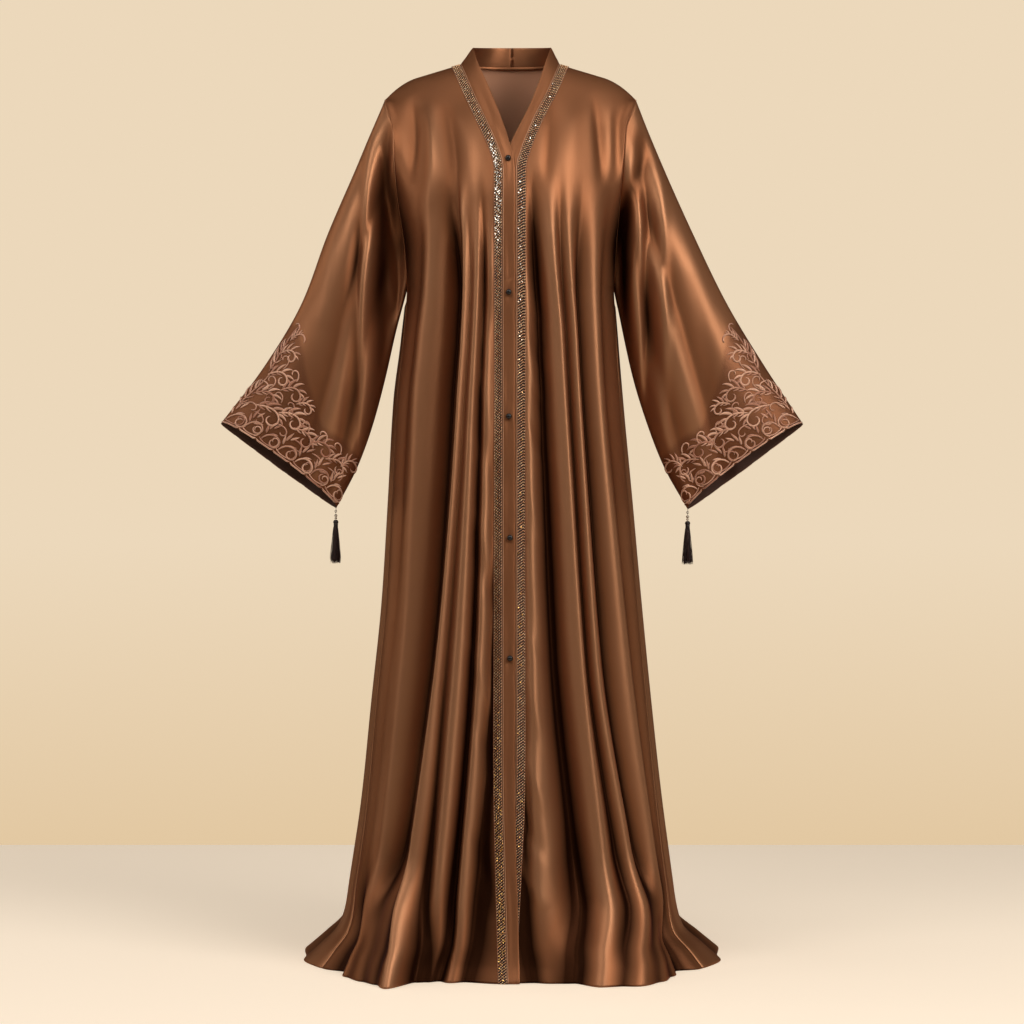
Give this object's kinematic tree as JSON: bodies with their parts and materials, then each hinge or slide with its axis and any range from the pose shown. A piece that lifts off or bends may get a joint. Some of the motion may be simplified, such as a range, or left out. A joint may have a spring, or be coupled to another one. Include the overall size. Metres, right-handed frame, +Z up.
{
  "type": "abaya",
  "caption": "Long open-front abaya in plain satin with a narrow buttoned placket, braided front trims, wide embroidered sleeves and a tassel on each cuff, hanging in worn form",
  "frame": {"origin": "centre of the neck opening at the height of the shoulder seams, where a wearer's neck and shoulders hold the garment", "axes": "+Z up along the garment's length, -Y out of its front, +X towards the wearer's left"},
  "size_m": [0.932, 0.6336, 1.461],
  "materials": {
    "satin": "plain bronze-brown satin, soft sheen",
    "braid": "bronze and silver beaded braid",
    "button": "near-black gloss ball",
    "metal": "polished pale metal bead",
    "floss": "dark brown rayon floss"
  },
  "bodies": {
    "root": {"band_right": "satin", "trim_right": "braid", "band_left": "satin", "trim_left": "braid", "front_right": "satin", "sleeve_right": "satin", "front_left": "satin", "sleeve_left": "satin", "back": "satin", "button_1": "button", "button_2": "button", "button_3": "button", "button_4": "button", "button_5": "button", "hanger_right": "metal", "bead_right": "metal", "tassel_right": "floss", "hanger_left": "metal", "bead_left": "metal", "tassel_left": "floss"}
  },
  "joints": []
}
